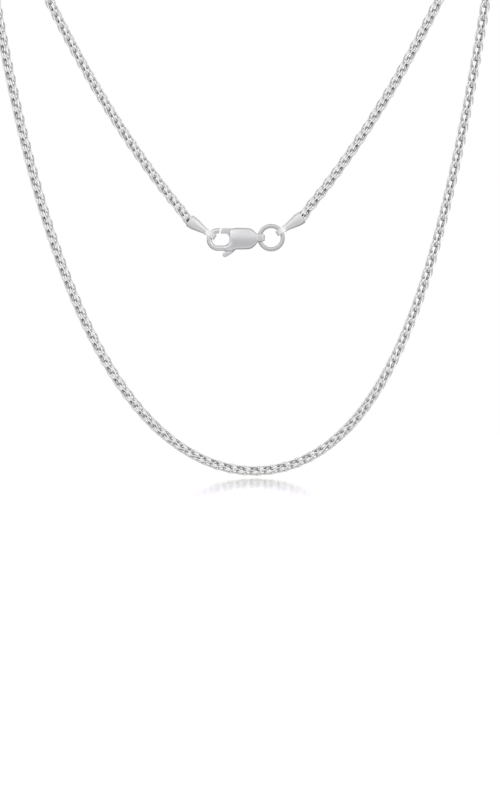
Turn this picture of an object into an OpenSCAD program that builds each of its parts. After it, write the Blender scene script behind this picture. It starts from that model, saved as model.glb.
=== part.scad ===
// Wheat chain necklace with a lobster clasp, hanging over a bar as a closed loop.
// Millimetres, +Z up, +Y to the back. The origin is the middle of the bar's axis.
// The front strand hangs in a deep U. The back strand hangs in a shallow V with the clasp in it.

/* [Chain] */
// Width of the chain across its loops
chain_w = 1.9; // [1.5:0.05:2]
// Radius of the chain's centre line where it turns over the bar
turn_r = 8; // [7:0.5:10]

/* [Front strand] */
// Drop from the bar's axis to the lowest point of the chain
front_drop = 105.7; // [100:0.1:112]
// Height scale of the front strand's hanging curve
front_rise = 13.5; // [12.5:0.1:15]
// Width scale of the front strand's hanging curve
front_spread = 17.7; // [17:0.1:18.5]
// Sideways sway of the front strand from its top to its lowest point
front_sway = 2.8; // [0:0.1:4]

/* [Back strand] */
// Scale of the back arms' hanging curve
back_scale = 59.8; // [59:0.1:61]
// Drop from the bar's axis to the foot of that curve, less its scale
back_drop = 147; // [146.5:0.1:147.5]
// Distance that each back arm is moved in towards the clasp
back_shift = 48.2; // [48:0.1:48.5]
// Drop at which the back arms end and bend into their tags
back_end = 53.4; // [53:0.1:53.6]

/* [End tags] */
// Angle of the tags' axes above the level
tag_angle = 33.5; // [31:0.5:36]
// Length from the wire that a tag hangs on to the tag's mouth
tag_len = 5.2; // [4.8:0.1:5.4]
// Width of a tag at its mouth
tag_w = 2.55; // [2.4:0.05:2.7]
// Thickness of the flattened tag
tag_t = 2.36; // [2.3:0.02:2.4]
// Width of the strap that folds over the wire
strap_w = 1.1; // [0.9:0.1:1.2]
// Thickness of that strap
strap_t = 0.4; // [0.3:0.02:0.42]
// Depth of the socket that holds the chain's end
socket_depth = 1.4; // [1.2:0.1:1.6]

/* [Jump ring] */
// Outer diameter of the jump ring
ring_d = 5.5; // [5.3:0.1:5.8]
// Diameter of the jump ring's wire
ring_wire = 0.84; // [0.76:0.02:0.84]

/* [Clasp] */
// Drop from the bar's axis to the middle of the clasp's body
clasp_drop = 59.26; // [59:0.02:59.5]
// Height of the body
body_h = 4.4; // [4.2:0.1:4.6]
// Greatest thickness of the domed body
body_t = 2.8; // [2.6:0.1:3]
// Place of the body's front edge from the middle plane
body_front = -3; // [-3.1:0.05:-2.95]
// Place where the body starts to taper towards its eye
body_shoulder = 0.8; // [0.6:0.1:1.2]
// Diameter of the hook's wire
hook_wire = 1.08; // [1:0.02:1.12]
// Radius of the hook's centre line
hook_r = 1.74; // [1.7:0.02:1.8]
// Place of the hook's centre from the middle plane
hook_x = -5.22; // [-5.3:0.02:-5.1]
// Outer radius of the eye at the clasp's rear
eye_r = 1.15; // [1.1:0.01:1.2]
// Bore radius of that eye
eye_bore_r = 0.66; // [0.65:0.01:0.67]
// Height of that eye
eye_h = 1.5; // [1.4:0.05:1.55]
// Thickness of the lever between the body's cheeks
lever_t = 0.8; // [0.7:0.05:0.8]
// Width of the lever's thumb tab
tab_w = 1.2; // [1:0.1:1.4]
// Radius of the rivet that the lever turns on
rivet_r = 0.35; // [0.3:0.01:0.36]

/* [Hidden] */
$fn = 48;
silver = [0.78, 0.78, 0.8];
eps = 0.01;

// Clearances between pieces that hang in each other or turn
slot_gap = 0.08;
rivet_gap = 0.03;
nose_gap = 0.25;
seat_gap = 0.18;
socket_gap = 0.04;

// Places along the back strand, all in the plane of the back strand
back_y = turn_r;
hook_below_body = 0.16;
pivot_above_body = 0.66;
eye_above_body = 0.2;
ring_play = 0.05;
hook_z = -clasp_drop - hook_below_body;
pivot_x = -1.2;
pivot_z = -clasp_drop + pivot_above_body;
eye_x = 3.05;
eye_z = -clasp_drop + eye_above_body;
ring_r = (ring_d - ring_wire) / 2;
ring_x = eye_x + ring_play + ring_r;
ring_z = eye_z;

// Each tag's wire centre: on the hook's left and on the jump ring's right
left_wire = [hook_x - hook_r * cos(tag_angle), back_y, hook_z + hook_r * sin(tag_angle)];
right_wire = [ring_x + ring_r * cos(tag_angle), back_y, ring_z + ring_r * sin(tag_angle)];

function cosh(x) = (exp(x) + exp(-x)) / 2;
function sinh(x) = (exp(x) - exp(-x)) / 2;
function acosh(x) = ln(x + sqrt(x * x - 1));
function unit(v) = v / norm(v);

// The chain's route, from the lowest point up the front, over the bar and down the back.
// side is 1 on the right and -1 on the left.
front_top = acosh(1 + front_drop / front_rise);
back_top = acosh(back_drop / back_scale);
back_foot = acosh((back_drop - back_end) / back_scale);
turn_len = PI * turn_r;
front_slope = front_spread / (front_rise * sinh(front_top));
back_slope = 1 / sinh(back_top);

function front_z(s) = front_rise * (cosh(s) - 1) - front_drop;
function sway(z) = front_sway * (pow(z / front_drop, 2) - 0.25);
function front_point(side, s) = [side * front_spread * s + sway(front_z(s)), -turn_r, front_z(s)];
function back_point(side, u) = [side * (back_scale * u - back_shift), turn_r, back_scale * cosh(u) - back_drop];

// Smooth cubic from a to b with end slopes da and db
function blend(a, da, b, db, f) =
    a * (2 * pow(f, 3) - 3 * pow(f, 2) + 1) + da * (pow(f, 3) - 2 * pow(f, 2) + f)
    + b * (3 * pow(f, 2) - 2 * pow(f, 3)) + db * (pow(f, 3) - pow(f, 2));
function turn_point(side, f) = [
    blend(front_point(side, front_top)[0], side * front_slope * turn_len,
          back_point(side, back_top)[0], -side * back_slope * turn_len, f),
    -turn_r * cos(180 * f),
    turn_r * sin(180 * f)
];
function tag_axis(side) = [side * cos(tag_angle), 0, sin(tag_angle)];
function tag_point(side, along) = (side > 0 ? right_wire : left_wire) + along * tag_axis(side);

front_steps = 19;
turn_steps = 9;
back_steps = 9;
function route(side) = concat(
    [for (i = [0 : front_steps]) front_point(side, front_top * pow(i / front_steps, 0.85))],
    [for (i = [1 : turn_steps]) turn_point(side, i / turn_steps)],
    [for (i = [1 : back_steps]) back_point(side, back_top + (back_foot - back_top) * i / back_steps)],
    [tag_point(side, tag_len + 0.15), tag_point(side, tag_len - socket_depth + 0.1)]
);

// A tube of eight sides swept along the route, with frames that don't twist
tube_sides = 8;
function directions(side, p) = [
    for (i = [0 : len(p) - 1])
        i == 0 ? [side, 0, 0] : i == len(p) - 1 ? -tag_axis(side) : unit(p[i + 1] - p[i - 1])
];
function square_to(n, t) = unit(n - (n * t) * t);
function normals(t) = [
    for (i = 0, n = [0, -1, 0]; i < len(t); i = i + 1, n = i < len(t) ? square_to(n, t[i]) : n) n
];
function ring_points(p, n, b) = [
    for (k = [0 : tube_sides - 1])
        p + chain_w / 2 * (cos(360 * k / tube_sides) * n + sin(360 * k / tube_sides) * b)
];
function wall_faces(rings) = [
    for (i = [0 : rings - 2], k = [0 : tube_sides - 1], half = [0, 1])
        let (a = i * tube_sides + k, b = i * tube_sides + (k + 1) % tube_sides)
        half == 0 ? [a, a + tube_sides, b + tube_sides] : [a, b + tube_sides, b]
];

module chain(side) {
    p = route(side);
    t = directions(side, p);
    n = normals(t);
    points = [for (i = [0 : len(p) - 1]) each ring_points(p[i], n[i], cross(t[i], n[i]))];
    near_cap = [for (k = [0 : tube_sides - 1]) k];
    far_cap = [for (k = [0 : tube_sides - 1]) len(points) - 1 - k];
    polyhedron(points = points, faces = concat(wall_faces(len(p)), [near_cap, far_cap]));
}

module chain_left() {
    color(silver) chain(-1);
}

module chain_right() {
    color(silver) chain(1);
}

// A tag in its own place: the wire's centre at the origin, the mouth up along +Z
neck_w = 1.2;
shoulder = 0.8;
lip_start = 0.88;
lip_in = 0.09;
function flare(t) = (t + 3 * pow(t, 2) - 2 * pow(t, 3)) / 2;
function lip(f) = lip_in * pow(max(f - lip_start, 0) / (1 - lip_start), 2);
function tag_radius(f) = neck_w / 2 + (tag_w - neck_w) / 2 * flare(min(f / shoulder, 1)) - lip(f);

module tag_shape(wire_d) {
    bore_r = wire_d / 2 + seat_gap;
    loop_r = bore_r + strap_t;
    neck = loop_r * 0.8;
    steps = 16;
    wall = [for (i = [0 : steps]) [tag_radius(i / steps), neck + (tag_len - neck) * i / steps]];
    difference() {
        union() {
            intersection() {
                rotate_extrude() polygon(concat([[0, neck]], wall, [[0, tag_len]]));
                translate([0, 0, tag_len / 2]) cube([2 * tag_w, tag_t, 2 * tag_len], center = true);
            }
            rotate([0, 90, 0]) cylinder(r = loop_r, h = strap_w, center = true);
        }
        translate([0, 0, tag_len - socket_depth])
            cylinder(r = chain_w / 2 + socket_gap, h = socket_depth + eps);
        rotate([0, 90, 0]) cylinder(r = bore_r, h = 2 * strap_w, center = true);
    }
}

module end_tag_left() {
    color(silver) translate(left_wire) rotate([0, tag_angle - 90, 0]) tag_shape(hook_wire);
}

module end_tag_right() {
    color(silver) translate(right_wire) rotate([0, 90 - tag_angle, 0]) tag_shape(ring_wire);
}

module jump_ring() {
    color(silver) translate([ring_x, back_y, ring_z]) rotate([90, 0, 0])
        rotate_extrude() translate([ring_r, 0]) circle(d = ring_wire);
}

// An outline drawn in X and Z, given a thickness in Y about the back strand's plane
module plate(thickness) {
    translate([0, back_y + thickness / 2, 0]) rotate([90, 0, 0]) linear_extrude(thickness) children();
}

// Half height of the body along its length: a round front corner, a slight belly, then a round
// shoulder down to the eye
body_end = 2.85;
end_h = 0.55;
corner_r = 0.5;
function corner(x) = corner_r - sqrt(pow(corner_r, 2) - pow(max(corner_r - x + body_front, 0), 2));
function body_half(x) = x < body_shoulder
    ? body_h / 2 - 0.12 * pow((x + 0.8) / 2.1, 2) - corner(x)
    : end_h + (body_half(body_shoulder - eps) - end_h)
        * (1 - pow((x - body_shoulder) / (body_end - body_shoulder), 2));

module body_outline() {
    steps = 24;
    xs = [for (i = [0 : steps]) body_front + (body_end - body_front) * (1 - cos(180 * i / steps)) / 2];
    translate([0, -clasp_drop])
        polygon(concat([for (x = xs) [x, body_half(x)]], [for (i = [steps : -1 : 0]) [xs[i], -body_half(xs[i])]]));
}

// The dome is thickest in the middle and falls off towards every edge
edge_t = 1.7;
end_t = 2.3;
function dome_r(half_length, drop) = (pow(half_length, 2) + pow(drop, 2)) / (2 * drop);

module body_dome() {
    across_r = dome_r(body_h / 2, (body_t - edge_t) / 2);
    along_r = dome_r(body_end, (body_t - end_t) / 2);
    length = 12;
    intersection() {
        plate(body_t) body_outline();
        for (side = [-1, 1]) {
            translate([0, back_y - side * (across_r - body_t / 2), -clasp_drop])
                rotate([0, 90, 0]) cylinder(r = across_r, h = length, center = true, $fn = 96);
        }
        for (side = [-1, 1]) {
            translate([0, back_y - side * (along_r - body_t / 2), -clasp_drop])
                cylinder(r = along_r, h = length, center = true, $fn = 96);
        }
    }
}

// The hook: a round wire that leaves the body's foot, turns up in front and ends in the nose
module hook() {
    leg = body_front + 0.5 - hook_x;
    nose = 0.9;
    difference() {
        translate([hook_x, back_y, hook_z]) rotate([90, 0, 0]) {
            rotate([0, 0, 90]) rotate_extrude(angle = 180) translate([hook_r, 0]) circle(d = hook_wire);
            translate([0, -hook_r, 0]) rotate([0, 90, 0]) cylinder(d = hook_wire, h = leg);
            translate([0, hook_r, 0]) rotate([0, 90, 0]) cylinder(d = hook_wire, h = nose);
        }
        nose_cut();
    }
}

// The gate's tip swings on this radius about the pivot, and the nose stands clear of it
gate_r = 3.5;
module nose_cut() {
    intersection() {
        plate(2 * body_t) translate([pivot_x, pivot_z]) circle(r = gate_r + nose_gap, $fn = 96);
        translate([hook_x, 0, hook_z]) cube([10, 2 * back_y, 5]);
    }
}

// Corners below are measured from the pivot, along X and Z
boss_r = 0.85;
gate_top = 1.46;
gate_foot = 0.38;
function swing_x(z) = -sqrt(pow(gate_r, 2) - pow(z, 2));

module gate_outline() {
    tip = [for (i = [0 : 4]) let (z = gate_top + (gate_foot - gate_top) * i / 4) [swing_x(z), z]];
    polygon(concat(tip, [[-1.9, 0.3], [-0.75, -0.4], [0, 0.8], [-0.9, 1.28], [-1.8, gate_top]]));
}

module arm_outline() {
    polygon([[-0.84, 0], [-1.12, -2.4], [-1.2, -3.16], [-1, -3.4], [-0.55, -2.95], [0.6, -0.6]]);
}

module tab_outline() {
    polygon([[-0.75, -3.16], [-2.6, -3.16], [-2.95, -3.5], [-3.1, -3.85], [-2.98, -4.2], [-2.6, -4.36],
             [-2.25, -4.26]]);
}

// Room between the cheeks: for the gate's swing, for the boss, and for the arm's swing out of the foot
module slot_outline() {
    polygon([[-2.6, 2], [-0.75, 2], [-0.55, 1.35], [0.1, 0.95], [0, -0.6], [-0.95, -0.9], [-2.6, -1.45]]);
    circle(r = boss_r + 0.1);
    polygon([[-0.9, -0.3], [-1.25, -1.6], [-1.25, -3.4], [1.65, -3.4], [1.5, -2.7], [0.98, -0.2]]);
}

module at_pivot(thickness) {
    plate(thickness) translate([pivot_x, pivot_z]) children();
}

module clasp_body() {
    front_hollow_r = 3.2;
    front_hollow_depth = 0.15;
    color(silver) difference() {
        union() {
            difference() {
                body_dome();
                plate(2 * body_t)
                    translate([body_front + front_hollow_depth - front_hollow_r, hook_z])
                    circle(r = front_hollow_r, $fn = 96);
            }
            hook();
            translate([eye_x, back_y, eye_z]) cylinder(r = eye_r, h = eye_h, center = true);
        }
        at_pivot(lever_t + 2 * slot_gap) slot_outline();
        at_pivot(2 * body_t) circle(r = rivet_r);
        translate([eye_x, back_y, eye_z]) cylinder(r = eye_bore_r, h = 2 * eye_h, center = true);
    }
}

module clasp_rivet() {
    rivet_len = 2.7;
    color(silver) at_pivot(rivet_len) circle(r = rivet_r);
}

// The lever: gate, boss, arm and thumb tab in one piece, bored for the rivet
module clasp_lever() {
    color(silver) difference() {
        union() {
            at_pivot(lever_t) {
                gate_outline();
                circle(r = boss_r);
                arm_outline();
            }
            at_pivot(tab_w) tab_outline();
        }
        at_pivot(2 * lever_t) circle(r = rivet_r + rivet_gap);
    }
}

chain_left();
chain_right();
end_tag_left();
end_tag_right();
jump_ring();
clasp_body();
clasp_rivet();
clasp_lever();
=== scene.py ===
"""A wheat chain necklace with a lobster clasp, hanging as a closed loop, in polished silver.

The chain's interlocked links, the tags, the ring and the clasp are modelled here in mesh code,
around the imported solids. Lengths are in millimetres until a mesh is made, which is in metres.
"""
import math
import bpy
import numpy as np
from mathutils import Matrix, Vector


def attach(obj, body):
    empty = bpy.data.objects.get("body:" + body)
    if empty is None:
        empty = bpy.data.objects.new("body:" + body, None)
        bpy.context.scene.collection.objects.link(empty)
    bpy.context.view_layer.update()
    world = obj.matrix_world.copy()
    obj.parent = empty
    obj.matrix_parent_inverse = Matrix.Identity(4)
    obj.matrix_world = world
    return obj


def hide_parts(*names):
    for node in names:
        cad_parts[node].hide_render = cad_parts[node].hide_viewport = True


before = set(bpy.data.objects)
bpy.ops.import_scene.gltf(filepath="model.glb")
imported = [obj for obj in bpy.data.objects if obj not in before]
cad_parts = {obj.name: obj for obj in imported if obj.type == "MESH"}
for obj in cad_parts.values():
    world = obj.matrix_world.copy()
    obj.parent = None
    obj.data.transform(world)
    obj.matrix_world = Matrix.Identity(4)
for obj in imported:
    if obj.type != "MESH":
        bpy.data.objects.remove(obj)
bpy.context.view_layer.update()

MM = 0.001

# Sizes that the part's source has too. Angles are in radians

# The chain's width, and the radius of its turn over the bar
CHAIN_W, TURN_R = 1.9, 8.0
# The front strand's drop, and the height, width and sway of its hanging curve
FRONT_DROP, FRONT_RISE, FRONT_SPREAD, FRONT_SWAY = 105.7, 13.5, 17.7, 2.8
# The sway changes sides where the squared share of the drop is this
SWAY_LEVEL = 0.25
# The back strand's hanging curve: its scale, drop, move towards the clasp, and the drop at its end
BACK_SCALE, BACK_DROP, BACK_SHIFT, BACK_END = 59.8, 147.0, 48.2, 53.4
# The tags, each from the wire that it hangs on to its mouth
TAG_ANGLE, TAG_LEN, SOCKET_DEPTH = math.radians(33.5), 5.2, 1.4
TAG_W, TAG_T, STRAP_W, STRAP_T = 2.55, 2.36, 1.1, 0.4
# The width of a tag's neck, and its height as a share of the strap's radius
NECK_W, NECK_RISE = 1.2, 0.8
# Shares of the cap's height where its flare ends and its lip starts, and the lip's depth
SHOULDER, LIP_START, LIP_IN = 0.8, 0.88, 0.09
# The clasp's domed body
CLASP_DROP = 59.26
BODY_H, BODY_T, EDGE_T, END_T, END_H = 4.4, 2.8, 1.7, 2.3, 0.55
BODY_FRONT, BODY_SHOULDER, BODY_END = -3.0, 0.8, 2.85
BELLY, BELLY_X, BELLY_LEN = 0.12, -0.8, 2.1
HOLLOW_R, CORNER_R = 3.2, 0.5
# The clasp's hook and eye
HOOK_X, HOOK_Z, HOOK_R, HOOK_WIRE = -5.22, -59.42, 1.74, 1.08
HOOK_FOOT = 0.5
EYE_X, EYE_Z, EYE_R, EYE_BORE_R, EYE_H = 3.05, -59.06, 1.15, 0.66, 1.5
# The lever and its rivet
PIVOT = np.array([-1.2, TURN_R, -58.6])
GATE_R, GATE_TOP, GATE_FOOT = 3.5, 1.46, 0.38
BOSS_R, LEVER_T, TAB_W, RIVET_R = 0.85, 0.8, 1.2, 0.35
# The jump ring
RING_D, RING_WIRE, RING_PLAY = 5.5, 0.84, 0.05
RING_R = (RING_D - RING_WIRE) / 2
RING_CENTRE = np.array([EYE_X + RING_PLAY + RING_R, TURN_R, EYE_Z])
# Clearances
SLOT_GAP, RIVET_GAP, SEAT_GAP, SOCKET_GAP, BOSS_GAP = 0.08, 0.03, 0.18, 0.04, 0.1
# A hair's breadth, for a place just before an edge
EPS = 0.01


# Meshes

def mesh_piece(name, vertices, faces, material):
    """A piece from vertices in millimetres and faces, shaded smooth."""
    mesh = bpy.data.meshes.new(name)
    mesh.from_pydata((np.asarray(vertices) * MM).tolist(), [], np.asarray(faces).tolist())
    mesh.validate()
    piece = bpy.data.objects.new(name, mesh)
    bpy.context.collection.objects.link(piece)
    mesh.materials.append(material)
    mesh.shade_smooth()
    return piece


def set_painted_light(piece, values):
    """Marks on each vertex its painted light, from 0 to about 1: low for painted shade, high for
    the bright tint or a painted highlight.
    """
    painted_light = piece.data.attributes.new("painted_light", "FLOAT", "POINT")
    painted_light.data.foreach_set("value", values)


# Lines through points

def run_along(points):
    """Distance along a line at each of its points."""
    return np.concatenate([[0], np.cumsum(np.linalg.norm(np.diff(points, axis=0), axis=1))])


def sample(at, s, points):
    """Points of a line at distances along it, from its own distances and points."""
    return np.stack([np.interp(at, s, points[:, i]) for i in range(3)], axis=-1)


def closed_curve(points, count):
    """Catmull-Rom curve through a closed list of points, with count points evenly spaced on it."""
    p = np.asarray(points, float)
    fine_steps = 12
    t = np.arange(fine_steps)[:, None] / fine_steps
    before, here, after, later = np.roll(p, 1, 0), p, np.roll(p, -1, 0), np.roll(p, -2, 0)
    parts = []
    for a, b, c, d in zip(before, here, after, later):
        parts.append(0.5 * (2 * b + (c - a) * t + (2 * a - 5 * b + 4 * c - d) * t ** 2
                            + (3 * b - a - 3 * c + d) * t ** 3))
    curve = np.concatenate(parts)
    loop = np.concatenate([curve, curve[:1]])
    s = run_along(loop)
    return sample(np.linspace(0, s[-1], count, endpoint=False), s, loop)


# The chain's route. side is 1 on the right and -1 on the left

FRONT_TOP = math.acosh(1 + FRONT_DROP / FRONT_RISE)
BACK_TOP = math.acosh(BACK_DROP / BACK_SCALE)
BACK_FOOT = math.acosh((BACK_DROP - BACK_END) / BACK_SCALE)
FRONT_STEPS, TURN_STEPS, BACK_STEPS = 240, 60, 120
# The chain is straight from just outside a tag's mouth to just off its socket's floor
OUT_OF_MOUTH, OFF_FLOOR = 0.15, 0.1
ROUTE_STEP = 0.25
SMOOTH_REACH = 3


def front_point(side, s):
    """A point of the front strand, from its lowest point at 0 to its top at FRONT_TOP."""
    z = FRONT_RISE * (math.cosh(s) - 1) - FRONT_DROP
    sway = FRONT_SWAY * ((z / FRONT_DROP) ** 2 - SWAY_LEVEL)
    return [side * FRONT_SPREAD * s + sway, -TURN_R, z]


def back_point(side, u):
    """A point of the back strand, from its top at BACK_TOP to its end at BACK_FOOT."""
    return [side * (BACK_SCALE * u - BACK_SHIFT), TURN_R, BACK_SCALE * math.cosh(u) - BACK_DROP]


def blend(a, da, b, db, f):
    """Cubic from a to b with end slopes da and db."""
    return (a * (2 * f ** 3 - 3 * f ** 2 + 1) + da * (f ** 3 - 2 * f ** 2 + f)
            + b * (3 * f ** 2 - 2 * f ** 3) + db * (f ** 3 - f ** 2))


def turn_point(side, f):
    """A point of the turn over the bar, from the front at 0 to the back at 1."""
    turn_len = math.pi * TURN_R
    front_slope = FRONT_SPREAD / (FRONT_RISE * math.sinh(FRONT_TOP))
    back_slope = 1 / math.sinh(BACK_TOP)
    x = blend(front_point(side, FRONT_TOP)[0], side * front_slope * turn_len,
              back_point(side, BACK_TOP)[0], -side * back_slope * turn_len, f)
    return [x, -TURN_R * math.cos(math.pi * f), TURN_R * math.sin(math.pi * f)]


def tag_axis(side):
    """Direction from the wire that a tag hangs on to the tag's mouth."""
    return np.array([side * math.cos(TAG_ANGLE), 0, math.sin(TAG_ANGLE)])


LEFT_WIRE = np.array([HOOK_X, TURN_R, HOOK_Z]) + HOOK_R * tag_axis(-1)
RIGHT_WIRE = RING_CENTRE + RING_R * tag_axis(1)


def half_route(side):
    """Points from the lowest point of the front strand to the chain's end in its tag."""
    wire = RIGHT_WIRE if side > 0 else LEFT_WIRE
    axis = tag_axis(side)
    points = [front_point(side, FRONT_TOP * i / FRONT_STEPS) for i in range(FRONT_STEPS + 1)]
    points += [turn_point(side, i / TURN_STEPS) for i in range(1, TURN_STEPS + 1)]
    points += [back_point(side, BACK_TOP + (BACK_FOOT - BACK_TOP) * i / BACK_STEPS)
               for i in range(1, BACK_STEPS + 1)]
    points.append(wire + (TAG_LEN + OUT_OF_MOUTH) * axis)
    points.append(wire + (TAG_LEN - SOCKET_DEPTH + OFF_FLOOR) * axis)
    return np.array(points)


def smoothed(points):
    """Points averaged with their neighbours, so that the route has no kinks."""
    kernel = np.hanning(2 * SMOOTH_REACH + 3)[1:-1]
    kernel /= kernel.sum()
    before = 2 * points[0] - points[SMOOTH_REACH:0:-1]
    after = 2 * points[-1] - points[-2:-SMOOTH_REACH - 2:-1]
    padded = np.concatenate([before, points, after])
    return np.stack([np.convolve(padded[:, i], kernel, "valid") for i in range(3)], axis=1)


def steady_normals(directions):
    """Normals along a line that don't twist about it."""
    normal = np.array([0, 1, 0]) - directions[0][1] * directions[0]
    normals = []
    for direction in directions:
        normal = normal - (normal @ direction) * direction
        normal = normal / np.linalg.norm(normal)
        normals.append(normal)
    return np.array(normals)


class Route:
    """The whole chain from the right tag to the left one, with a frame that doesn't twist."""

    def __init__(self):
        right, left = half_route(1), half_route(-1)
        raw = np.concatenate([right[::-1], left[1:]])
        raw_s = run_along(raw)
        self.length = raw_s[-1]
        self.middle = raw_s[len(right) - 1]
        self.s = np.linspace(0, self.length, int(self.length / ROUTE_STEP))
        self.points = smoothed(sample(self.s, raw_s, raw))
        slopes = np.gradient(self.points, self.s, axis=0)
        self.along = slopes / np.linalg.norm(slopes, axis=1)[:, None]
        self.out = steady_normals(self.along)
        self.across = np.cross(self.along, self.out)

    def at(self, s, table):
        """One of the route's tables at places along it."""
        return sample(s, self.s, table)

    def place(self, x, y, s):
        """Points at x and y across the chain and s along it. Past the ends it goes straight on."""
        inside = np.clip(s, 0, self.length)
        point = self.at(inside, self.points) + (s - inside)[..., None] * self.at(inside, self.along)
        side = x[..., None] * self.at(inside, self.out)
        return point + side + y[..., None] * self.at(inside, self.across)


route = Route()


# The links: each is one closed wire with a narrow waist and two lobes that stand up from it.
# Links lie crossed in turn, and each passes through the lobes of the two before it. The lobes
# point away from the left tag, all along the chain to the right tag.

WIRE = 0.29
PITCH = 9.35 * WIRE
LINK_WIRE_R = 0.495 * WIRE
LINK_SEGMENTS = 56
LINK_SIDES = 8
# A quarter of a link, from its waist to a lobe's tip, in wire diameters: out, sideways, along
QUARTER = [
    (0.0, 0.55, 0.0),
    (1.35, 0.55, 0.4),
    (2.3, 0.65, 1.55),
    (2.8, 0.95, 3.1),
    (2.85, 1.35, 4.6),
    (2.45, 1.75, 6.2),
    (1.9, 1.95, 7.8),
    (1.35, 1.75, 9.2),
    (0.95, 1.1, 10.3),
    (0.75, 0.0, 10.8),
]
# In the last stretch at each end the links are pressed together, inside the tags
CRIMP = 1.2
# Links past each end of the route, whose wires fill the tags' sockets
SPARE_LINKS = 2
# The pattern's roll about the chain's line: fraction of its length from the right tag, degrees
ROLL = [
    (0.0, -62),
    (0.11, -63),
    (0.236, -73),
    (0.33, -76),
    (0.40, -80),
    (0.44, -93),
    (0.47, -106),
    (0.51, -107),
    (0.535, -97),
    (0.56, -84),
    (0.60, -80),
    (0.74, -80),
    (0.86, -70),
    (1.0, -67),
]


def link_line():
    """A link's closed centre line, from its quarter by symmetry."""
    quarter = np.array(QUARTER)
    lobe = np.concatenate([quarter, quarter[:-1][::-1] * [1, -1, 1]])
    return closed_curve(np.concatenate([lobe, lobe[1:-1][::-1] * [-1, 1, 1]]), LINK_SEGMENTS) * WIRE


def tube(centre, radius, sides):
    """Rings round a closed centre line, in the line's own space."""
    along = np.roll(centre, -1, 0) - np.roll(centre, 1, 0)
    along /= np.linalg.norm(along, axis=1)[:, None]
    inward = -centre * [1, 1, 0]
    inward = inward - (inward * along).sum(1)[:, None] * along
    inward /= np.linalg.norm(inward, axis=1)[:, None]
    side = np.cross(along, inward)
    angle = 2 * math.pi * np.arange(sides) / sides
    cosine, sine = np.cos(angle)[None, :, None], np.sin(angle)[None, :, None]
    return centre[:, None] + radius * (cosine * inward[:, None] + sine * side[:, None])


def ring_faces(rings, sides):
    """Quads of a tube whose rings close on themselves."""
    i, k = np.meshgrid(np.arange(rings), np.arange(sides), indexing="ij")
    j, m = (i + 1) % rings, (k + 1) % sides
    quads = np.stack([i * sides + k, i * sides + m, j * sides + m, j * sides + k], axis=-1)
    return quads.reshape(-1, 4)


def roll_at(s):
    """The pattern's roll at places along the route, in radians."""
    stops = np.array(ROLL, float)
    return np.radians(np.interp(s / route.length, stops[:, 0], stops[:, 1]))


def crimped(s):
    """Places along the route, pressed together near its ends so that no link leaves its tag."""
    rest = route.length - s
    at_left = route.length - CRIMP * np.exp(np.minimum(rest / CRIMP, 1) - 1)
    at_right = CRIMP * np.exp(np.minimum(s / CRIMP, 1) - 1)
    return np.where(rest < CRIMP, at_left, np.where(s < CRIMP, at_right, s))


def chain_links(name, first, last, material):
    """Links first to last - 1, counted from the left tag, joined into one mesh."""
    shape = tube(link_line(), LINK_WIRE_R, LINK_SIDES).reshape(-1, 3)
    faces = ring_faces(LINK_SEGMENTS, LINK_SIDES)
    # Painted shade: the nearer a wire lies to the chain's core, the darker its tint, in place of
    # the shade inside the chain
    outside = np.hypot(shape[:, 0], shape[:, 1]) / (CHAIN_W / 2)
    vertices, quads = [], []
    for k in range(first, last):
        local = shape if k % 2 == 0 else shape[:, [1, 0, 2]] * [-1, 1, 1]
        s = crimped(route.length - k * PITCH / 2 - local[:, 2])
        roll = roll_at(s)
        x = local[:, 0] * np.cos(roll) - local[:, 1] * np.sin(roll)
        y = local[:, 0] * np.sin(roll) + local[:, 1] * np.cos(roll)
        vertices.append(route.place(x, y, s))
        quads.append(faces + (k - first) * len(shape))
    piece = mesh_piece(name, np.concatenate(vertices), np.concatenate(quads), material)
    set_painted_light(piece, np.tile(outside, last - first))
    return piece


def add_chain(material):
    """The chain's links, in two pieces that meet at the bottom of the front strand."""
    first = -SPARE_LINKS
    last = int((route.length - CRIMP) / (PITCH / 2)) + SPARE_LINKS
    middle = int(round((route.length - route.middle) / (PITCH / 2)))
    links_left = chain_links("chain_links_left", first, middle, material)
    links_right = chain_links("chain_links_right", middle, last, material)
    for piece, node in ((links_left, "chain_left"), (links_right, "chain_right")):
        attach(piece, "root")
        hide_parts(node)


# Nodes that the materials and the studio share. Each gives its result as a socket

def map_range(tree, value, source, target=(0, 1)):
    """A value carried from one range to another, and held inside it."""
    node = tree.nodes.new("ShaderNodeMapRange")
    ends = ("From Min", "From Max", "To Min", "To Max")
    for end, number in zip(ends, (*source, *target)):
        node.inputs[end].default_value = number
    tree.links.new(value, node.inputs["Value"])
    return node.outputs["Result"]


def math_node(tree, operation, *values):
    """The result of an operation on one or two numbers."""
    node = tree.nodes.new("ShaderNodeMath")
    node.operation = operation
    for socket, value in zip(node.inputs, values):
        tree.links.new(value, socket)
    return node.outputs["Value"]


def scaled(tree, colour, factor):
    """A colour times a number."""
    node = tree.nodes.new("ShaderNodeVectorMath")
    node.operation = "SCALE"
    tree.links.new(colour, node.inputs[0])
    tree.links.new(factor, node.inputs["Scale"])
    return node.outputs["Vector"]


def colour_ramp(tree, value, stops, interpolation):
    """Colours by a value, from positions and tints."""
    node = tree.nodes.new("ShaderNodeValToRGB")
    node.color_ramp.interpolation = interpolation
    elements = node.color_ramp.elements
    elements.remove(elements[1])
    elements[0].position = stops[0][0]
    for position, _ in stops[1:]:
        elements.new(position)
    for element, (position, tint) in zip(elements, stops):
        element.color = (*tint, 1)
    tree.links.new(value, node.inputs["Fac"])
    return node.outputs["Color"]


def grey_ramp(tree, value, stops):
    """Greys by a value, from positions and levels."""
    tints = [(position, (level, level, level)) for position, level in stops]
    return colour_ramp(tree, value, tints, "LINEAR")


# Materials

# Scales of noise are per metre. The haze changes the gloss by these shares, and the handling
# marks are a fine relief
HAZE_SCALE, HAZE_DETAIL, HAZE_LEAST, HAZE_MOST = 900, 4, 0.7, 1.4
MARK_SCALE, MARK_DETAIL, MARK_DEPTH = 2600, 3, 0.02
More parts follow.
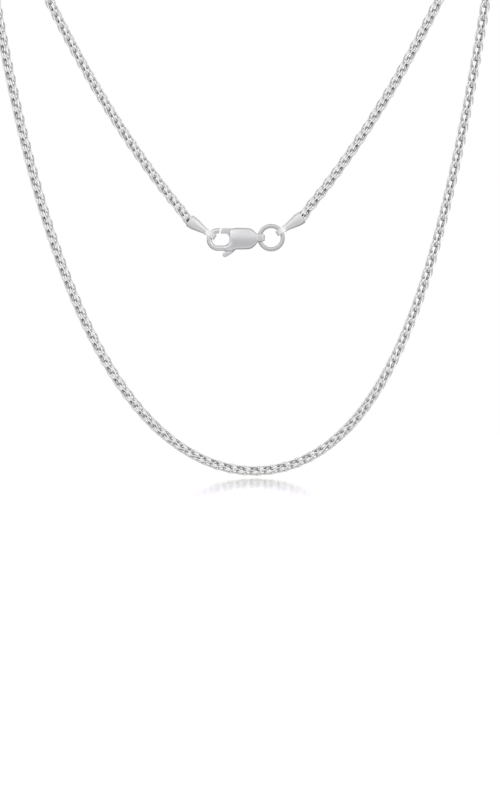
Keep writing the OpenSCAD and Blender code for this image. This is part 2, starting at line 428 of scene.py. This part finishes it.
# Painted-light marks up to which metal stays in its dark tint, and from which it has its bright one
DARK_UP_TO, BRIGHT_FROM = 0.5, 0.88
# The links' tint, and the tint of the painted shade in the chain's recesses
LINK_TINT, RECESS_SHADE_TINT = (0.97, 0.97, 0.97), (0.5, 0.5, 0.5)
CLASP_TINT, RING_TINT = (0.82, 0.815, 0.838), (0.72, 0.717, 0.737)
# The tags' strap tint is a painted highlight over the cap's own tint
STRAP_HIGHLIGHT_TINT, CAP_TINT = (0.99, 0.99, 1.0), (0.88, 0.878, 0.892)


def noise(tree, scale, detail):
    """Noise that is fixed to the object."""
    place = tree.nodes.new("ShaderNodeTexCoord")
    texture = tree.nodes.new("ShaderNodeTexNoise")
    texture.inputs["Scale"].default_value = scale
    texture.inputs["Detail"].default_value = detail
    tree.links.new(place.outputs["Object"], texture.inputs["Vector"])
    return texture.outputs["Fac"]


def silver(name, tint, roughness, bump):
    """Polished silver with faint handling marks and a little unevenness in its gloss."""
    material = bpy.data.materials.new(name)
    material.use_nodes = True
    tree = material.node_tree
    shader = tree.nodes["Principled BSDF"]
    shader.inputs["Metallic"].default_value = 1.0
    shader.inputs["Base Color"].default_value = (*tint, 1)
    haze = noise(tree, HAZE_SCALE, HAZE_DETAIL)
    gloss = map_range(tree, haze, (0, 1), (roughness * HAZE_LEAST, roughness * HAZE_MOST))
    tree.links.new(gloss, shader.inputs["Roughness"])
    relief = tree.nodes.new("ShaderNodeBump")
    relief.inputs["Strength"].default_value = bump
    relief.inputs["Distance"].default_value = MARK_DEPTH * MM
    tree.links.new(noise(tree, MARK_SCALE, MARK_DETAIL), relief.inputs["Height"])
    tree.links.new(relief.outputs["Normal"], shader.inputs["Normal"])
    return material


def silver_with_painted_light(name, bright, dark, roughness, bump):
    """Silver whose tint runs from dark to bright by painted light marked on its vertices: painted
    shade where the mark is low, the bright tint where it is high.
    """
    material = silver(name, bright, roughness, bump)
    tree = material.node_tree
    painted_light = tree.nodes.new("ShaderNodeAttribute")
    painted_light.attribute_name = "painted_light"
    stops = [(DARK_UP_TO, dark), (BRIGHT_FROM, bright)]
    tint = colour_ramp(tree, painted_light.outputs["Fac"], stops, "EASE")
    tree.links.new(tint, tree.nodes["Principled BSDF"].inputs["Base Color"])
    return material


# Solids as distance fields: functions of x, y and z, below zero inside

# Rounds in which a net's points move onto the surface, and the least squared slope they count on
SETTLE_ROUNDS = 2
LEAST_SLOPE_SQUARE = 0.3


def round_and(a, b, radius):
    """What lies in both solids, with round outer edges of a radius."""
    edge = np.hypot(np.maximum(a + radius, 0), np.maximum(b + radius, 0))
    return edge + np.minimum(np.maximum(a, b) + radius, 0) - radius


def round_or(a, b, radius):
    """What lies in either solid, with fillets of a radius."""
    return -round_and(-a, -b, radius)


def polygon(x, z, corners):
    """Distance to a polygon in X and Z."""
    corners = np.asarray(corners, float)
    square = np.full(np.broadcast(x, z).shape, np.inf)
    inside = np.zeros(square.shape, bool)
    for (ax, az), (bx, bz) in zip(corners, np.roll(corners, -1, 0)):
        ex, ez = bx - ax, bz - az
        along = np.clip(((x - ax) * ex + (z - az) * ez) / (ex * ex + ez * ez), 0, 1)
        square = np.minimum(square, (x - ax - ex * along) ** 2 + (z - az - ez * along) ** 2)
        if ez:
            inside ^= ((az > z) != (bz > z)) & (x < ax + (z - az) * ex / ez)
    return np.sqrt(square) * np.where(inside, -1, 1)


def plate(outline, y, thickness, edge):
    """An outline given a thickness, with round edges."""
    return round_and(outline, np.abs(y) - thickness / 2, edge)


def net_of(value):
    """A net of quads between a grid's values below zero and the others, in grid steps."""
    cells = tuple(n - 1 for n in value.shape)
    index = np.arange(np.prod(cells)).reshape(cells)
    total, count = np.zeros((index.size, 3)), np.zeros(index.size)
    quads = []
    for axis in range(3):
        v, cell = np.moveaxis(value, axis, 0), np.moveaxis(index, axis, 0)
        others = [i for i in range(3) if i != axis]
        crossing = (v[:-1] < 0) != (v[1:] < 0)
        i, j, k = np.nonzero(crossing)
        point = np.zeros((len(i), 3))
        point[:, axis] = i + v[i, j, k] / (v[i, j, k] - v[i + 1, j, k])
        point[:, others[0]], point[:, others[1]] = j, k
        around = [cell[i, j - 1, k - 1], cell[i, j, k - 1], cell[i, j, k], cell[i, j - 1, k]]
        for one in around:
            np.add.at(total, one, point)
            np.add.at(count, one, 1)
        # With axis 1 in front the axes are a mirror image, and so its quads turn the other way
        outward = (v[i, j, k] < 0) == (axis != 1)
        quad = np.stack(around, axis=1)
        quads.append(np.where(outward[:, None], quad, quad[:, ::-1]))
    used = np.nonzero(count)[0]
    new_index = np.zeros(index.size, int)
    new_index[used] = np.arange(len(used))
    return total[used] / count[used][:, None], new_index[np.concatenate(quads)]


def settled(points, field, step):
    """Points moved onto a field's zero surface, from within a step of it."""
    nudge = step / 4
    for _ in range(SETTLE_ROUNDS):
        rises = [field(*(points + nudge * e).T) - field(*(points - nudge * e).T) for e in np.eye(3)]
        slope = np.stack(rises, axis=1) / (2 * nudge)
        miss = field(*points.T) / np.maximum((slope ** 2).sum(1), LEAST_SLOPE_SQUARE)
        points = points - np.clip(miss, -step, step)[:, None] * slope
    return points


def surface_net(field, low, high, step):
    """Vertices and quads of a field's zero surface inside a box, on a grid of a step."""
    axes = [np.arange(a - 2 * step, b + 3 * step, step) for a, b in zip(low, high)]
    points, quads = net_of(field(*np.meshgrid(*axes, indexing="ij", sparse=True)))
    return settled(points * step + [a[0] for a in axes], field, step), quads


def net_piece(name, node, body, field, low, high, step, place, material):
    """A piece cut from a field, on its body and in its node's place."""
    points, quads = surface_net(field, low, high, step)
    piece = mesh_piece(name, place(points), quads, material)
    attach(piece, body)
    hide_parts(node)
    return piece


# The clasp. Its fields are drawn in the back strand's plane, at y = 0

# Radii of round edges and fillets, in which the finished pieces differ from the solids
BODY_EDGE, HOLLOW_EDGE, NOSE_EDGE, SLOT_EDGE = 0.55, 0.12, 0.14, 0.05
EYE_EDGE, BORE_EDGE, HOOK_FILLET, EYE_FILLET = 0.36, 0.1, 1.4, 0.3
LEVER_EDGE, TAB_EDGE, TAB_CORNER, TAB_FILLET, HEAD_EDGE = 0.26, 0.3, 0.2, 0.08, 0.015
# The nose's clearance is wider than in the solid, and the front hollow is flatter
NOSE_GAP, HOLLOW_DEPTH = 0.33, 0.08
# The eye's barrel is flattened: its section is a superellipse with this exponent
EYE_POWER = 3.5
# The rivet's heads, and how far they stand out of the dome
HEAD_R, HEAD_RISE = 0.43, 0.01
BODY_STEPS = 24
GATE_STEPS = 4
# Corners in X and Z from the pivot. The tab's lie inside its edge by TAB_CORNER
GATE_BACK = [(-2.1, 0.34), (-2.05, 0), (-1.8, -0.1), (-0.75, -0.4), (0, 0.8), (-0.9, 1.28),
             (-1.8, GATE_TOP)]
ARM = [(-0.84, 0), (-1.12, -2.4), (-1.2, -3.16), (-1.0, -3.4), (-0.55, -2.95), (0.6, -0.6)]
TAB = [(-1.2, -3.36), (-2.52, -3.36), (-2.78, -3.6), (-2.9, -3.86), (-2.82, -4.07), (-2.6, -4.15),
       (-2.37, -4.08)]
GATE_ROOM = [(-2.6, 2), (-0.75, 2), (-0.55, 1.35), (0.1, 0.95), (0, -0.6), (-0.95, -0.9),
             (-2.6, -1.45)]
ARM_ROOM = [(-0.9, -0.3), (-1.25, -1.6), (-1.25, -3.4), (1.65, -3.4), (1.5, -2.7), (0.98, -0.2)]


def body_half(x):
    """Half height of the clasp's body: a round front corner, a slight belly, then the shoulder."""
    if x < BODY_SHOULDER:
        corner = CORNER_R - math.sqrt(CORNER_R ** 2 - max(CORNER_R - x + BODY_FRONT, 0) ** 2)
        return BODY_H / 2 - BELLY * ((x - BELLY_X) / BELLY_LEN) ** 2 - corner
    fall = (x - BODY_SHOULDER) / (BODY_END - BODY_SHOULDER)
    return END_H + (body_half(BODY_SHOULDER - EPS) - END_H) * (1 - fall ** 2)


def body_outline():
    """The body's outline, with its points closer together at both ends."""
    length = BODY_END - BODY_FRONT
    shares = [(1 - math.cos(math.pi * i / BODY_STEPS)) / 2 for i in range(BODY_STEPS + 1)]
    xs = [BODY_FRONT + length * share for share in shares]
    top = [(x, -CLASP_DROP + body_half(x)) for x in xs]
    return top + [(x, -CLASP_DROP - body_half(x)) for x in reversed(xs)]


def from_pivot(x, z):
    """Distance from the pivot's axis."""
    return np.hypot(x - PIVOT[0], z - PIVOT[2])


def dome_r(half_length, drop):
    """Radius of an arc that drops this far over half its length."""
    return (half_length ** 2 + drop ** 2) / (2 * drop)


def dome(x, y, z):
    """The body's two domed faces."""
    across = (z + CLASP_DROP) ** 2 / (2 * dome_r(BODY_H / 2, (BODY_T - EDGE_T) / 2))
    along = x ** 2 / (2 * dome_r(BODY_END, (BODY_T - END_T) / 2))
    return np.abs(y) - BODY_T / 2 + across + along


def lever_slot(x, y, z):
    """Room between the cheeks: for the gate, for the boss and for the arm."""
    px, pz = x - PIVOT[0], z - PIVOT[2]
    boss = from_pivot(x, z) - BOSS_R - BOSS_GAP
    outline = np.minimum(np.minimum(polygon(px, pz, GATE_ROOM), boss), polygon(px, pz, ARM_ROOM))
    return np.maximum(outline, np.abs(y) - LEVER_T / 2 - SLOT_GAP)


def hook_field(x, y, z):
    """The hook: a round wire from the body's foot round the front to the nose."""
    turn = np.hypot(x - HOOK_X, z - HOOK_Z) - HOOK_R
    leg = np.abs(z - HOOK_Z) - HOOK_R
    wire = np.hypot(np.where(x < HOOK_X, turn, leg), y) - HOOK_WIRE / 2
    nose = np.maximum(GATE_R + NOSE_GAP - from_pivot(x, z), x - HOOK_X - HOOK_R)
    foot = x - BODY_FRONT - HOOK_FOOT
    return round_and(wire, np.where(z > HOOK_Z, nose, foot), NOSE_EDGE)


def eye_field(x, y, z):
    """The barrel of the eye, before its bore."""
    round_x, round_y = np.abs(x - EYE_X) ** EYE_POWER, np.abs(y) ** EYE_POWER
    section = (round_x + round_y) ** (1 / EYE_POWER) - EYE_R
    return round_and(section, np.abs(z - EYE_Z) - EYE_H / 2, EYE_EDGE)


def clasp_body_field(x, y, z):
    """The domed body with its front hollow, the hook and the eye, less the lever's room."""
    body = round_and(polygon(x, z, body_outline()), dome(x, y, z), BODY_EDGE)
    hollow = np.hypot(x - BODY_FRONT - HOLLOW_DEPTH + HOLLOW_R, z - HOOK_Z) - HOLLOW_R
    body = round_and(body, -hollow, HOLLOW_EDGE)
    solid = round_or(body, hook_field(x, y, z), HOOK_FILLET)
    solid = round_or(solid, eye_field(x, y, z), EYE_FILLET)
    solid = round_and(solid, EYE_BORE_R - np.hypot(x - EYE_X, y), BORE_EDGE)
    solid = round_and(solid, -lever_slot(x, y, z), SLOT_EDGE)
    return np.maximum(solid, RIVET_R - from_pivot(x, z))


def clasp_lever_field(x, y, z):
    """The lever: gate, boss, arm and thumb tab in one piece, bored for the rivet."""
    px, pz = x - PIVOT[0], z - PIVOT[2]
    heights = [GATE_TOP + (GATE_FOOT - GATE_TOP) * i / GATE_STEPS for i in range(GATE_STEPS + 1)]
    tip = [(-math.sqrt(GATE_R ** 2 - height ** 2), height) for height in heights]
    gate = polygon(px, pz, tip + GATE_BACK)
    boss = from_pivot(x, z) - BOSS_R
    flat = plate(np.minimum(np.minimum(gate, boss), polygon(px, pz, ARM)), y, LEVER_T, LEVER_EDGE)
    tab = plate(polygon(px, pz, TAB) - TAB_CORNER, y, TAB_W, TAB_EDGE)
    return np.maximum(round_or(flat, tab, TAB_FILLET), RIVET_R + RIVET_GAP - from_pivot(x, z))


def clasp_rivet_field(x, y, z):
    """The rivet, peened at both ends to low heads that follow the dome."""
    radius = np.where(np.abs(y) > LEVER_T / 2 + SLOT_GAP, HEAD_R, RIVET_R)
    return round_and(from_pivot(x, z) - radius, dome(x, y, z) - HEAD_RISE, HEAD_EDGE)


def in_back_plane(points):
    """Points drawn at y = 0, carried to the back strand's plane."""
    return points + [0, TURN_R, 0]


# Name, node, body, field, low and high corner of the box that it lies in, and its net's step
CLASP_PIECES = [
    ("clasp_body_cast", "clasp_body", "root", clasp_body_field,
     (-7.6, -1.5, -61.8), (4.3, 1.5, -57), 0.055),
    ("clasp_lever_cast", "clasp_lever", "lever", clasp_lever_field,
     (-4.8, -0.7, -63), (-0.2, 0.7, -57), 0.03),
    ("clasp_rivet_pin", "clasp_rivet", "root", clasp_rivet_field,
     (-1.65, -1.4, -59.1), (-0.75, 1.4, -58.1), 0.03),
]


def add_clasp(material):
    """The clasp's body, its lever and the rivet between them."""
    for name, node, body, field, low_corner, high_corner, step in CLASP_PIECES:
        net_piece(name, node, body, field, low_corner, high_corner, step, in_back_plane, material)


# The end tags. Each is drawn with its wire's centre at the origin and its mouth up along Z

CAP_EDGE, MOUTH_EDGE, NECK_EDGE, SOCKET_EDGE = 0.3, 0.09, 0.05, 0.05
STRAP_EDGE, STRAP_FILLET = 0.08, 0.3
# The cap's wall leans, and so its distance is this share of the radial gap to it
WALL_LEAN = 0.85
# The box that a tag lies in, and its net's step
TAG_LOW, TAG_HIGH, TAG_STEP = (-1.3, -1.3, -1), (1.3, 1.3, TAG_LEN), 0.05
# Heights over the wire's centre where the strap's painted highlight starts to fade, and how far it
# takes
STRAP_END, STRAP_FADE = 0.95, 0.9


def tag_field(wire):
    """A tag for a wire of this diameter: a flattened cap and the strap that folds over the wire."""
    bore = wire / 2 + SEAT_GAP
    loop_r = bore + STRAP_T
    neck = loop_r * NECK_RISE

    def field(x, y, z):
        rise = np.clip((z - neck) / (TAG_LEN - neck), 0, 1)
        flare = np.minimum(rise / SHOULDER, 1)
        lip = LIP_IN * (np.maximum(rise - LIP_START, 0) / (1 - LIP_START)) ** 2
        wall = NECK_W / 2 + (TAG_W - NECK_W) / 4 * (flare + 3 * flare ** 2 - 2 * flare ** 3) - lip
        cap = round_and((np.hypot(x, y) - wall) * WALL_LEAN, np.abs(y) - TAG_T / 2, CAP_EDGE)
        cap = round_and(round_and(cap, z - TAG_LEN, MOUTH_EDGE), neck - z, NECK_EDGE)
        loop = round_and(np.hypot(y, z) - loop_r, np.abs(x) - STRAP_W / 2, STRAP_EDGE)
        solid = round_or(cap, loop, STRAP_FILLET)
        socket_wall = np.hypot(x, y) - CHAIN_W / 2 - SOCKET_GAP
        socket = np.maximum(socket_wall, TAG_LEN - SOCKET_DEPTH - z)
        solid = round_and(solid, -socket, SOCKET_EDGE)
        return round_and(solid, bore - np.hypot(y, z), SOCKET_EDGE)
    return field


def on_tag(side, wire_centre):
    """Carries points from a tag's own place to the wire that it hangs on."""
    axis = tag_axis(side)
    out = np.array([axis[2], 0, -axis[0]])

    def place(points):
        x, y, z = points[:, :1], points[:, 1:2], points[:, 2:]
        return wire_centre + x * out + y * [0, 1, 0] + z * axis
    return place


def add_tag(name, node, side, wire, wire_centre, material):
    """An end tag. Its strap has a painted highlight, brighter than its cap."""
    tag = net_piece(name, node, "root", tag_field(wire), TAG_LOW, TAG_HIGH, TAG_STEP,
                    on_tag(side, wire_centre), material)
    # Painted highlight: full on the strap, fading out up the cap
    spots = np.empty(3 * len(tag.data.vertices))
    tag.data.vertices.foreach_get("co", spots)
    rise = (spots.reshape(-1, 3) / MM - wire_centre) @ tag_axis(side)
    set_painted_light(tag, 1 - np.clip((rise - STRAP_END) / STRAP_FADE, 0, 1))


# The jump ring

# Sections along the ring's wire, and the sides of each
RING_TURNS, RING_SIDES = 120, 28


def add_jump_ring(material):
    """The ring that the clasp's eye and the right tag hang on."""
    angle = 2 * math.pi * np.arange(RING_TURNS) / RING_TURNS
    line = RING_R * np.stack([np.cos(angle), np.sin(angle), 0 * angle], axis=1)
    flat = tube(line, RING_WIRE / 2, RING_SIDES).reshape(-1, 3)
    upright = flat[:, [0, 2, 1]] * [1, -1, 1] + RING_CENTRE
    piece = mesh_piece("jump_ring_round", upright, ring_faces(RING_TURNS, RING_SIDES), material)
    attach(piece, "root")
    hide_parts("jump_ring")


# The floor

# The floor's own light, and the tint of its mirror image
FLOOR_WHITE, FLOOR_MIRROR = (1.18, 1.12, 1.24, 1), (0.96, 1, 0.92, 1)
# The polish of the floor near the object, and its roughness
FLOOR_SHARE, FLOOR_ROUGHNESS = 0.8, 0.028
# Distances from the origin between which the polish fades
POLISH_NEAR, POLISH_FAR = 150, 1150
# The floor's half width, and its distance below the chain
FLOOR_HALF, FLOOR_GAP = 4000, 0.35


def floor_material():
    """A white gloss floor, bright by itself, that mirrors the chain faintly at a low angle."""
    material = bpy.data.materials.new("pale_floor")
    material.use_nodes = True
    tree = material.node_tree
    tree.nodes.remove(tree.nodes["Principled BSDF"])
    white = tree.nodes.new("ShaderNodeEmission")
    white.inputs["Color"].default_value = FLOOR_WHITE
    mirror = tree.nodes.new("ShaderNodeBsdfAnisotropic")
    mirror.inputs["Color"].default_value = FLOOR_MIRROR
    mirror.inputs["Roughness"].default_value = FLOOR_ROUGHNESS
    place = tree.nodes.new("ShaderNodeTexCoord")
    distance = tree.nodes.new("ShaderNodeVectorMath")
    distance.operation = "LENGTH"
    tree.links.new(place.outputs["Object"], distance.inputs[0])
    fade = (POLISH_NEAR * MM, POLISH_FAR * MM)
    polish = map_range(tree, distance.outputs["Value"], fade, (FLOOR_SHARE, 0))
    grazing = tree.nodes.new("ShaderNodeFresnel")
    mix = tree.nodes.new("ShaderNodeMixShader")
    share = math_node(tree, "MULTIPLY", grazing.outputs["Fac"], polish)
    tree.links.new(share, mix.inputs["Fac"])
    tree.links.new(white.outputs["Emission"], mix.inputs[1])
    tree.links.new(mirror.outputs["BSDF"], mix.inputs[2])
    tree.links.new(mix.outputs["Shader"], tree.nodes["Material Output"].inputs["Surface"])
    return material


def add_floor():
    """A level floor just below the chain, that the silver itself doesn't see."""
    half, z = FLOOR_HALF, -FRONT_DROP - CHAIN_W / 2 - FLOOR_GAP
    corners = [(-half, -half, z), (half, -half, z), (half, half, z), (-half, half, z)]
    floor = mesh_piece("floor", corners, [(0, 1, 2, 3)], floor_material())
    floor.visible_glossy = False
    floor.visible_diffuse = False


# The studio's light. Its tables give brightness at positions from 0 to 1

# From straight down to straight up
RISE_LEVELS = [(0.0, 0.9), (0.15, 0.68), (0.22, 0.57), (0.3, 0.54), (0.45, 0.57), (0.5, 0.64),
               (0.55, 0.8), (0.6, 0.9), (0.7, 0.92), (0.82, 0.84), (1.0, 0.95)]
# From the front to the back
REACH_LEVELS = [(0.0, 1.0), (0.3, 1.0), (0.5, 0.8), (0.6, 0.46), (0.75, 0.48), (0.84, 0.8),
                (0.97, 0.9), (0.985, 1.58)]
# Also from the front to the back: where the darker part lies, below and behind the object
BEHIND_LEVELS = [(0.0, 0.0), (0.55, 0.0), (0.7, 1.0), (0.8, 1.0), (0.9, 0.0)]
# How steeply down that part has its full darkness, and its level there
BELOW_FULL, BELOW_LEVEL = -0.25, 0.45
# Both sides are brighter, from a slight turn aside to nearly straight aside
BESIDE_FROM, BESIDE_FULL, BESIDE_LEVEL = 0.25, 0.9, 1.3
WHITE = (1, 1, 1, 1)
# The colour sockets of a mix node
MIX_A, MIX_B, MIX_RESULT = 6, 7, 2
# The soft boxes, in metres and watts: their side, their power and the point that they face
BOX_SIZE, BOX_POWER = 0.5, 0.4
BOX_AIM = Vector((0, 0, -0.06))


def studio_level(tree):
    """The studio's brightness by direction."""
    place = tree.nodes.new("ShaderNodeTexCoord")
    axes = tree.nodes.new("ShaderNodeSeparateXYZ")
    tree.links.new(place.outputs["Generated"], axes.inputs["Vector"])
    x, y, z = (axes.outputs[axis] for axis in "XYZ")
    depth = map_range(tree, y, (-1, 1))
    rise = grey_ramp(tree, map_range(tree, z, (-1, 1)), RISE_LEVELS)
    level = scaled(tree, rise, grey_ramp(tree, depth, REACH_LEVELS))
    behind = grey_ramp(tree, depth, BEHIND_LEVELS)
    quarter = math_node(tree, "MULTIPLY", behind, map_range(tree, z, (0, BELOW_FULL)))
    level = scaled(tree, level, map_range(tree, quarter, (0, 1), (1, BELOW_LEVEL)))
    aside = math_node(tree, "ABSOLUTE", x)
    beside = map_range(tree, aside, (BESIDE_FROM, BESIDE_FULL), (1, BESIDE_LEVEL))
    return scaled(tree, level, beside)


def studio_world():
    """White behind the object, and a soft studio for what the silver reflects."""
    world = bpy.data.worlds.new("studio")
    bpy.context.scene.world = world
    world.use_nodes = True
    tree = world.node_tree
    path = tree.nodes.new("ShaderNodeLightPath")
    mix = tree.nodes.new("ShaderNodeMix")
    mix.data_type = "RGBA"
    tree.links.new(path.outputs["Is Camera Ray"], mix.inputs["Factor"])
    tree.links.new(studio_level(tree), mix.inputs[MIX_A])
    mix.inputs[MIX_B].default_value = WHITE
    tree.links.new(mix.outputs[MIX_RESULT], tree.nodes["Background"].inputs["Color"])


def softbox(name, location):
    """A square area light at a place in metres, that faces the clasp."""
    light = bpy.data.lights.new(name, "AREA")
    light.size = BOX_SIZE
    light.energy = BOX_POWER
    lamp = bpy.data.objects.new(name, light)
    bpy.context.collection.objects.link(lamp)
    lamp.location = location
    lamp.rotation_euler = (BOX_AIM - lamp.location).to_track_quat("-Z", "Y").to_euler()


# The photograph's frame, 0.2 mm to a pixel at the necklace, and where the origin lies in it

PHOTO_W, PHOTO_H, PIXEL = 500, 800, 0.2
ORIGIN_X, ORIGIN_Y = 244, -58
# The camera stands so far off that the two strands show at one scale
DISTANCE, SENSOR, CLIP_END_M = 3600, 36, 10


def photo_camera():
    """The photograph's camera, level and straight on."""
    data = bpy.data.cameras.new("camera")
    data.sensor_width = SENSOR
    data.lens = SENSOR * DISTANCE / (PHOTO_H * PIXEL)
    data.clip_end = CLIP_END_M
    camera = bpy.data.objects.new("camera", data)
    bpy.context.collection.objects.link(camera)
    x, z = (PHOTO_W / 2 - ORIGIN_X) * PIXEL, -(PHOTO_H / 2 - ORIGIN_Y) * PIXEL
    camera.location = [x * MM, -DISTANCE * MM, z * MM]
    camera.rotation_euler = (math.pi / 2, 0, 0)
    bpy.context.scene.camera = camera


# The whole scene

# The links get painted shade in the chain's recesses
link_silver = silver_with_painted_light("link_silver", LINK_TINT, RECESS_SHADE_TINT, roughness=0.1, bump=0.1)
clasp_silver = silver("fitting_silver", CLASP_TINT, roughness=0.34, bump=0.015)
ring_silver = silver("ring_silver", RING_TINT, roughness=0.42, bump=0.015)
# The tags get a painted highlight on their straps
tag_silver = silver_with_painted_light("tag_silver", STRAP_HIGHLIGHT_TINT, CAP_TINT, roughness=0.5, bump=0.02)

add_chain(link_silver)
add_clasp(clasp_silver)
add_tag("end_tag_left_cap", "end_tag_left", -1, HOOK_WIRE, LEFT_WIRE, tag_silver)
add_tag("end_tag_right_cap", "end_tag_right", 1, RING_WIRE, RIGHT_WIRE, tag_silver)
add_jump_ring(ring_silver)
add_floor()
softbox("key", (-0.5, -0.8, 0.7))
softbox("fill", (0.8, -0.7, 0.3))
studio_world()
photo_camera()
bpy.context.scene.view_settings.view_transform = "Standard"
